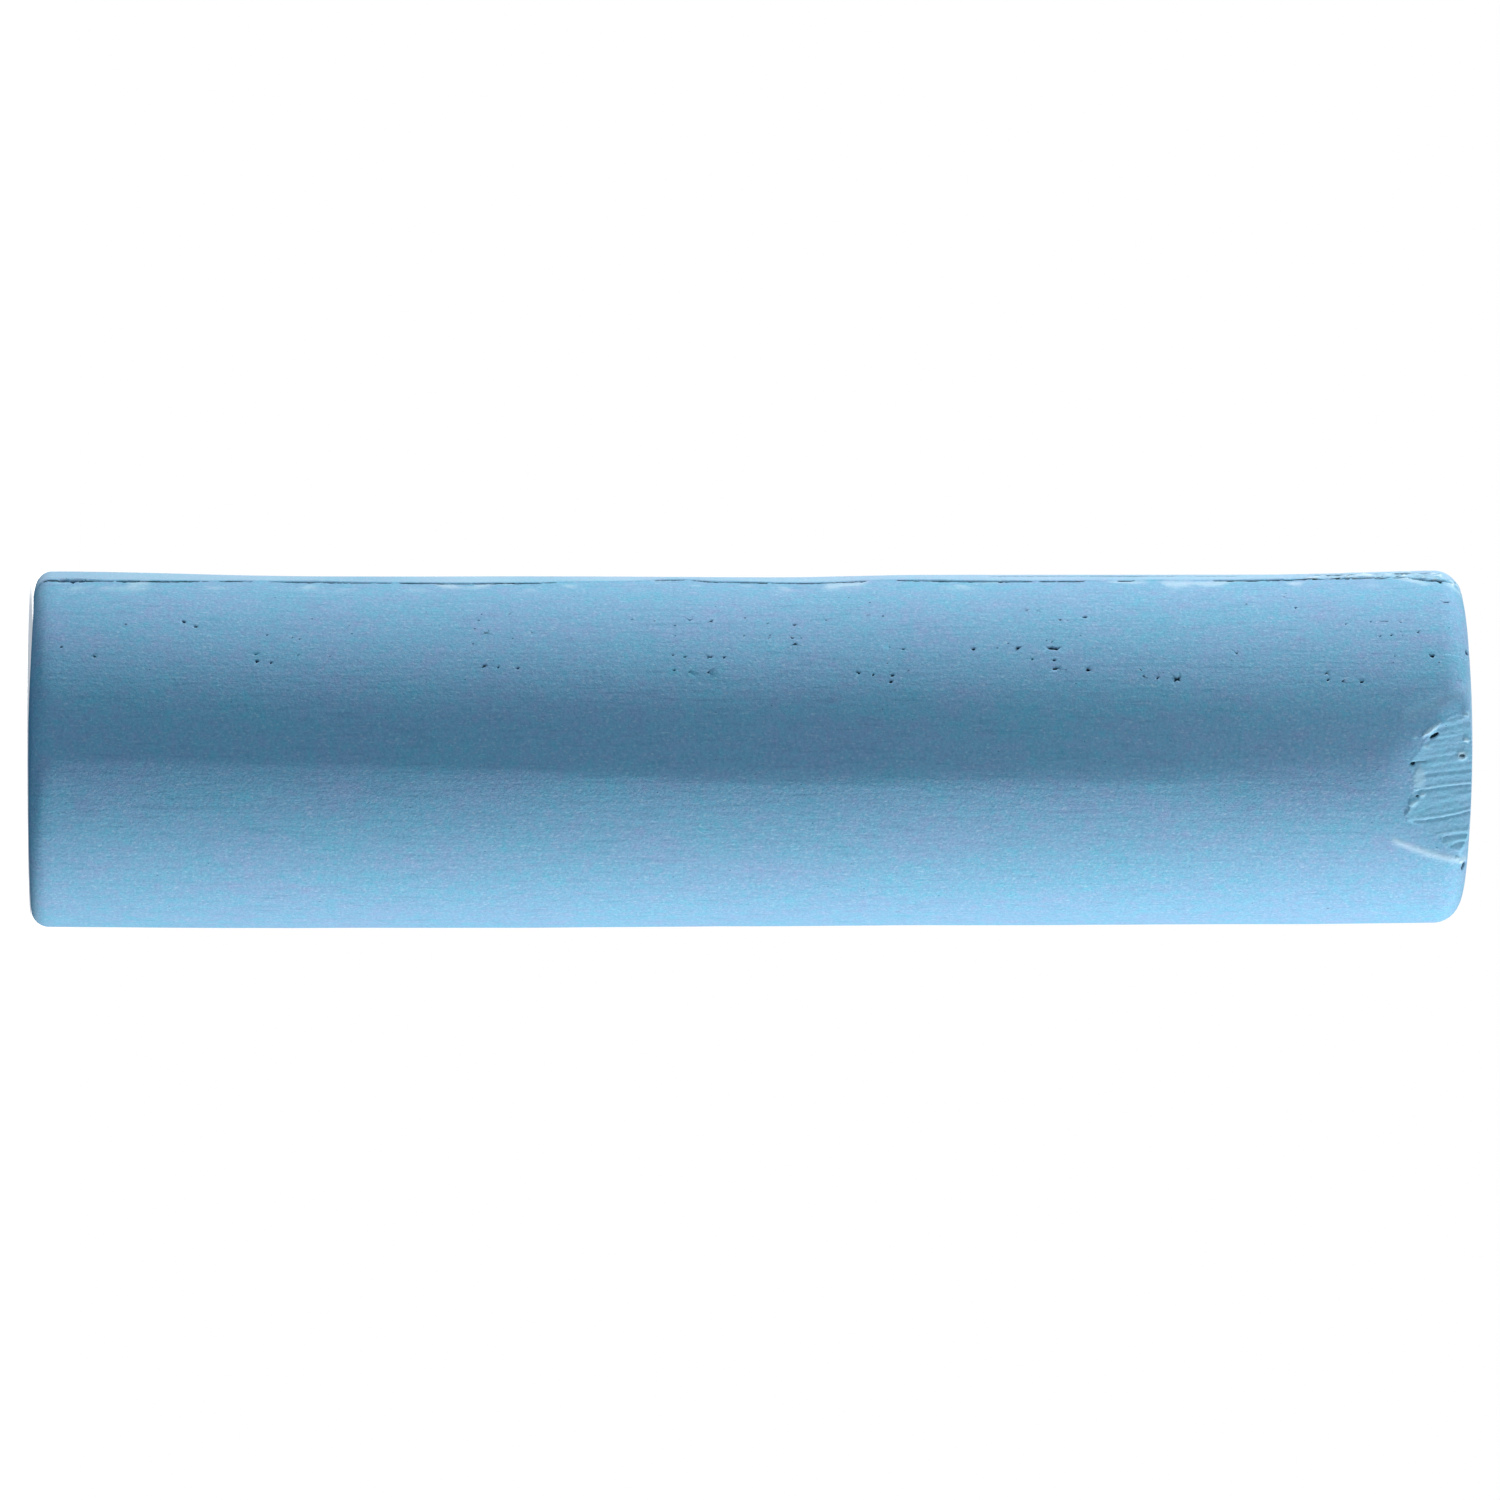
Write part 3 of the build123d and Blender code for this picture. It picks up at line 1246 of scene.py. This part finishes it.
@dataclass(frozen=True)
class ChalkFinish:
    """Dry pressed pigment: powdery, a little mottled, with grain dragged along the stick.

    Attributes:
        cool: The body's greener blue.
        violet: The body's redder blue.
        deep: The dark grains and streaks.
        dust_and_highlight: Loose pale powder, also used as painted highlight on raised flakes,
            specks and crumbs.
        recess_shade_colour: Painted shade for the inside of cracks, pores and pits.
        torn: Freshly torn chalk.
        roughness: How dull the chalk is.
        sheen: How much its powder catches light at a low angle.
        sheen_roughness: How widely the powder spreads that light.
        pinholes_per_mm: How many cells of the finest pinholes lie in a millimetre.
        pinhole_size: Their size, as a share of their cell.
        clouds: The broad mottling of the body's two blues.
        flecks: Its finer flecks.
        specks: The dark grains.
        powder: The pale powder on the skin.
        streaks: The dark lines that were dragged along the stick.
        rough_skin: The bump of the powder.
        drag_lines: The bump of the dragged lines.
    """

    cool: tuple[float, float, float, float] = linear(97, 171, 198)
    violet: tuple[float, float, float, float] = linear(134, 156, 196)
    deep: tuple[float, float, float, float] = linear(64, 116, 150)
    dust_and_highlight: tuple[float, float, float, float] = linear(178, 204, 220)
    recess_shade_colour: tuple[float, float, float, float] = linear(14, 40, 54)
    torn: tuple[float, float, float, float] = linear(126, 182, 208)
    roughness: float = 1.0
    sheen: float = 0.12
    sheen_roughness: float = 0.5
    pinholes_per_mm: float = 1.7
    pinhole_size: float = 0.075
    clouds: Grain = Grain(GrainRun.DRAGGED, 0.5, 3.0, 0.6)
    flecks: Grain = Grain(GrainRun.EVEN, 2.3, 3.0, 0.75)
    specks: Grain = Grain(GrainRun.EVEN, 9.0, 1.0, 0.8)
    powder: Grain = Grain(GrainRun.DRAGGED, 13.0, 1.0, 0.5)
    streaks: Grain = Grain(GrainRun.STREAKED, 7.0)
    rough_skin: Grain = Grain(GrainRun.EVEN, 8.0, 3.0, 0.7)
    drag_lines: Grain = Grain(GrainRun.STREAKED, 4.5, 2.0, 0.6)

    def _noise(self, tree: NodeTree, grain: Grain) -> bpy.types.NodeSocket:
        """Returns a grain's noise on the stick's own coordinates."""
        place = tree.add("ShaderNodeTexCoord").outputs["Object"]
        placed = tree.add("ShaderNodeMapping", {"Vector": place, "Scale": grain.run.value})
        pattern = tree.add(
            "ShaderNodeTexNoise",
            {
                "Vector": placed.outputs[0],
                "Scale": grain.per_mm / MILLIMETRE,
                "Detail": grain.detail,
                "Roughness": grain.roughness,
            },
        )
        return pattern.outputs["Fac"]

    def _condition(self, tree: NodeTree, name: str) -> bpy.types.NodeSocket:
        """Returns one of the skin's own condition values."""
        return tree.add("ShaderNodeAttribute", attribute_name=name).outputs["Fac"]

    def _pinhole_shade(self, tree: NodeTree) -> bpy.types.NodeSocket:
        """Returns 1 in the finest pinholes, which are most where the skin is porous: painted shade,
        with no hole in the mesh.
        """
        place = tree.add("ShaderNodeTexCoord").outputs["Object"]
        placed = tree.add("ShaderNodeMapping", {"Vector": place, "Scale": (1.0, 1.0, 0.7)})
        cells = tree.add(
            "ShaderNodeTexVoronoi",
            {"Vector": placed.outputs[0], "Scale": self.pinholes_per_mm / MILLIMETRE},
        )
        size = tree.math("MULTIPLY", self._condition(tree, "porous"), self.pinhole_size)
        inside = tree.math("SUBTRACT", size, cells.outputs["Distance"])
        return tree.ramp(inside, -0.012, 0.012)

    def _colour(self, tree: NodeTree) -> bpy.types.NodeSocket:
        """Returns the chalk's colour, mottled, streaked and grained, with painted shade in recesses
        and painted highlight on raised marks.
        """
        clouds = tree.ramp(self._noise(tree, self.clouds), 0.32, 0.68)
        flecks = tree.ramp(self._noise(tree, self.flecks), 0.28, 0.72)
        broad = tree.math("MULTIPLY", clouds, 0.35)
        fine = tree.math("MULTIPLY", flecks, 0.65)
        colour = tree.blend(tree.math("ADD", broad, fine), self.cool, self.violet)
        specks = tree.ramp(self._noise(tree, self.specks), 0.36, 0.7, 0.0, 0.3)
        colour = tree.blend(specks, colour, self.deep)
        powder = tree.ramp(self._noise(tree, self.powder), 0.56, 0.8, 0.0, 0.4)
        colour = tree.blend(powder, colour, self.dust_and_highlight)
        streaks = tree.ramp(self._noise(tree, self.streaks), 0.54, 0.8, 0.0, 0.3)
        colour = tree.blend(streaks, colour, self.deep)
        torn = tree.math("MULTIPLY", self._condition(tree, "torn"), 0.4)
        colour = tree.blend(torn, colour, self.torn)
        # Pale dust on the seam's lip, and painted highlight on raised flakes, specks and crumbs.
        colour = tree.blend(self._condition(tree, "dust_and_highlight"), colour, self.dust_and_highlight)
        # Painted shade: the finest pinholes are dark spots that stand in for the shade inside them.
        holes = tree.math("MULTIPLY", self._pinhole_shade(tree), 0.8)
        colour = tree.blend(holes, colour, self.recess_shade_colour)
        # Painted shade: cracks, flake hollows, pores and pits are darkened towards the recess shade
        # colour.
        depth = tree.ramp(self._condition(tree, "recess_shade"), 0.1, 0.6)
        return tree.blend(depth, colour, self.recess_shade_colour)

    def _normal(self, tree: NodeTree) -> bpy.types.NodeSocket:
        """Returns the fine grain's bump: powder, then drag lines along the stick."""
        fine = tree.add(
            "ShaderNodeBump",
            {
                "Height": self._noise(tree, self.rough_skin),
                "Distance": 0.04 * MILLIMETRE,
                "Strength": 0.6,
            },
        )
        lines = tree.add(
            "ShaderNodeBump",
            {
                "Height": self._noise(tree, self.drag_lines),
                "Distance": 0.03 * MILLIMETRE,
                "Strength": 0.45,
                "Normal": fine.outputs[0],
            },
        )
        return lines.outputs[0]

    def make(self) -> bpy.types.Material:
        """Returns the chalk's material."""
        material = bpy.data.materials.new("pastel_chalk")
        material.use_nodes = True
        tree = NodeTree(material.node_tree)
        chalk = tree.add(
            "ShaderNodeBsdfPrincipled",
            {
                "Base Color": self._colour(tree),
                "Roughness": self.roughness,
                "Specular IOR Level": 0.0,
                "Sheen Weight": self.sheen,
                "Sheen Roughness": self.sheen_roughness,
                "Normal": self._normal(tree),
            },
        )
        tree.add("ShaderNodeOutputMaterial", {"Surface": chalk.outputs[0]})
        return material


@dataclass(frozen=True)
class StripLamp:
    """A tall soft lamp that stands beside the stick and faces its axis.

    Attributes:
        name: What it is called.
        bearing: The side that it stands on.
        distance: How far from the axis it stands.
        height: How high its middle is.
        aim_height: The height on the axis that it faces.
        width: Its width.
        tallness: Its height from end to end.
        power: Its light, in watts.
        tint: Its colour.
    """

    name: str
    bearing: float
    distance: float
    height: float
    aim_height: float
    width: float
    tallness: float
    power: float
    tint: tuple[float, float, float] = (1.04, 0.94, 0.86)

    def light(self) -> bpy.types.Object:
        """Returns the lamp's object, placed and aimed."""
        lamp = bpy.data.lights.new(self.name, "AREA")
        lamp.shape = "RECTANGLE"
        lamp.size = self.width * MILLIMETRE
        lamp.size_y = self.tallness * MILLIMETRE
        lamp.energy = self.power
        lamp.color = self.tint
        stand = bpy.data.objects.new(self.name, lamp)
        turn = math.radians(self.bearing)
        away = Vector((math.sin(turn), -math.cos(turn), 0)) * self.distance
        spot = away + Vector((0, 0, self.height))
        aim = Vector((0, 0, self.aim_height)) - spot
        stand.location = spot * MILLIMETRE
        stand.rotation_euler = aim.to_track_quat("-Z", "Y").to_euler()
        bpy.context.scene.collection.objects.link(stand)
        return stand


@dataclass(frozen=True)
class Studio:
    """The pale floor, the lamps, the white surround and the camera.

    Attributes:
        floor_radius: The floor's radius.
        floor_white: How white its paper looks.
        floor_bounce: How much light it throws back at the stick, as a share.
        floor_glow: How much it gives off to the stick besides.
        floor_lift: How much its look is lifted towards white near the stick.
        shadow_reach: Where the floor starts to fade into the surround, and where it is gone.
        surround_light: How much light the surround gives.
        surround_tint: The colour of that light.
        lamps: The soft lamps.
        camera_distance: How far in front of the axis the camera stands.
        frame_width: How much of the stick's plane the picture takes in.
        sensor_width: The camera's own width, as its lens is reckoned.
        foot_margin: How much of the picture lies past the foot.
    """

    floor_radius: float = 700.0
    floor_white: float = 0.8
    floor_bounce: float = 0.22
    floor_glow: float = 0.22
    floor_lift: float = 0.45
    shadow_reach: tuple[float, float] = (22.0, 105.0)
    surround_light: float = 0.28
    surround_tint: tuple[float, float, float, float] = (0.5, 0.93, 1.15, 1.0)
    lamps: tuple[StripLamp, ...] = (
        StripLamp("lamp_below", 91.0, 190.0, 95.0, 45.0, 22.0, 110.0, 0.64),
        StripLamp("lamp_above", -101.0, 190.0, 95.0, 45.0, 40.0, 110.0, 0.575),
        StripLamp("lamp_head", -5.0, 60.0, 125.0, 45.0, 30.0, 30.0, 0.042),
    )
    camera_distance: float = 1500.0
    frame_width: float = 63.58
    sensor_width: float = 36.0
    foot_margin: float = 1.3

    WHITE = (1.0, 1.0, 1.0, 1.0)

    def _camera_rays(self, tree: NodeTree) -> bpy.types.NodeSocket:
        """Returns 1 for rays that see the surround: straight, mirrored or through glass."""
        path = tree.add("ShaderNodeLightPath").outputs
        seen = tree.math("MAXIMUM", path["Is Camera Ray"], path["Is Glossy Ray"])
        return tree.math("MAXIMUM", seen, path["Is Transmission Ray"])

    def light_surround(self) -> None:
        """Makes the world white to look at and dim as a light."""
        world = bpy.data.worlds.new("white_surround")
        world.use_nodes = True
        tree = NodeTree(world.node_tree)
        dim = tree.add(
            "ShaderNodeBackground", {"Color": self.surround_tint, "Strength": self.surround_light}
        )
        white = tree.add("ShaderNodeBackground", {"Color": self.WHITE, "Strength": 1.0})
        mix = tree.add(
            "ShaderNodeMixShader",
            {0: self._camera_rays(tree), 1: dim.outputs[0], 2: white.outputs[0]},
        )
        tree.add("ShaderNodeOutputWorld", {"Surface": mix.outputs[0]})
        bpy.context.scene.world = world

    def lay_floor(self) -> bpy.types.Object:
        """Returns the round floor, which fades into the white surround."""
        bm = bmesh.new()
        bmesh.ops.create_circle(
            bm, cap_ends=True, segments=96, radius=self.floor_radius * MILLIMETRE
        )
        mesh = bpy.data.meshes.new("floor")
        bm.to_mesh(mesh)
        bm.free()
        floor = bpy.data.objects.new("floor", mesh)
        bpy.context.scene.collection.objects.link(floor)
        mesh.materials.append(self._floor_paper())
        return floor

    def _floor_paper(self) -> bpy.types.Material:
        """Returns the floor's pale paper, which keeps a soft shadow near the stick."""
        material = bpy.data.materials.new("floor_paper")
        material.use_nodes = True
        tree = NodeTree(material.node_tree)
        white, grey = ((level,) * 3 + (1.0,) for level in (self.floor_white, self.floor_bounce))
        paper = tree.add("ShaderNodeBsdfDiffuse", {"Color": white})
        dull = tree.add("ShaderNodeBsdfDiffuse", {"Color": grey})
        faint = tree.add(
            "ShaderNodeEmission", {"Color": self.surround_tint, "Strength": self.floor_glow}
        )
        bounce = tree.add("ShaderNodeAddShader", {0: dull.outputs[0], 1: faint.outputs[0]})
        lift = tree.add("ShaderNodeEmission", {"Color": self.WHITE, "Strength": self.floor_lift})
        lifted = tree.add("ShaderNodeAddShader", {0: paper.outputs[0], 1: lift.outputs[0]})
        glow = tree.add("ShaderNodeEmission", {"Color": self.WHITE, "Strength": 1.0})
        place = tree.add("ShaderNodeTexCoord").outputs["Object"]
        away = tree.add("ShaderNodeVectorMath", {0: place}, operation="LENGTH").outputs["Value"]
        near, far = (reach * MILLIMETRE for reach in self.shadow_reach)
        fade = tree.ramp(away, near, far)
        seen = tree.add("ShaderNodeMixShader", {0: fade, 1: lifted.outputs[0], 2: glow.outputs[0]})
        mix = tree.add(
            "ShaderNodeMixShader",
            {0: self._camera_rays(tree), 1: bounce.outputs[0], 2: seen.outputs[0]},
        )
        tree.add("ShaderNodeOutputMaterial", {"Surface": mix.outputs[0]})
        return material

    def place_camera(self) -> None:
        """Sets the camera level in front of the stick, lying on its side."""
        lens = bpy.data.cameras.new("camera")
        lens.sensor_width = self.sensor_width
        lens.lens = self.sensor_width * self.camera_distance / self.frame_width
        camera = bpy.data.objects.new("camera", lens)
        middle = self.frame_width / 2 - self.foot_margin
        picture_right, picture_up = Vector((0, 0, 1)), Vector((-1, 0, 0))
        backwards = Vector((0, -1, 0))
        turn = Matrix((picture_right, picture_up, backwards)).transposed().to_4x4()
        spot = backwards * self.camera_distance + Vector((0, 0, middle))
        camera.matrix_world = Matrix.Translation(spot * MILLIMETRE) @ turn
        bpy.context.scene.collection.objects.link(camera)
        bpy.context.scene.camera = camera

    def set_up(self) -> None:
        """Sets up the whole studio."""
        self.light_surround()
        self.lay_floor()
        for lamp in self.lamps:
            lamp.light()
        self.place_camera()
        bpy.context.scene.view_settings.view_transform = "Standard"


def read_shape() -> BarShape:
    """Returns the bar's sizes as the frame's node gives them."""
    low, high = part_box(STICK_NODE)
    return BarShape(radius=high.x / MILLIMETRE, length=(high.z - low.z) / MILLIMETRE)


def main() -> None:
    """Builds the stick's looks and the studio round the frame."""
    logging.basicConfig(level=logging.INFO, format="%(name)s: %(message)s")
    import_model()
    shape = read_shape()
    LOG.info("frame: radius %.2f mm, length %.2f mm", shape.radius, shape.length)
    stick = PastelStick(shape).build()
    stick.data.materials.append(ChalkFinish().make())
    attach(stick, ROOT_BODY)
    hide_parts(STICK_NODE)
    triangles = sum(len(face.vertices) - 2 for face in stick.data.polygons)
    LOG.info("pastel_skin: %d corners, %d triangles", len(stick.data.vertices), triangles)
    Studio().set_up()
    LOG.info("studio: floor, lamps, surround and camera")


if __name__ == "__main__":
    main()
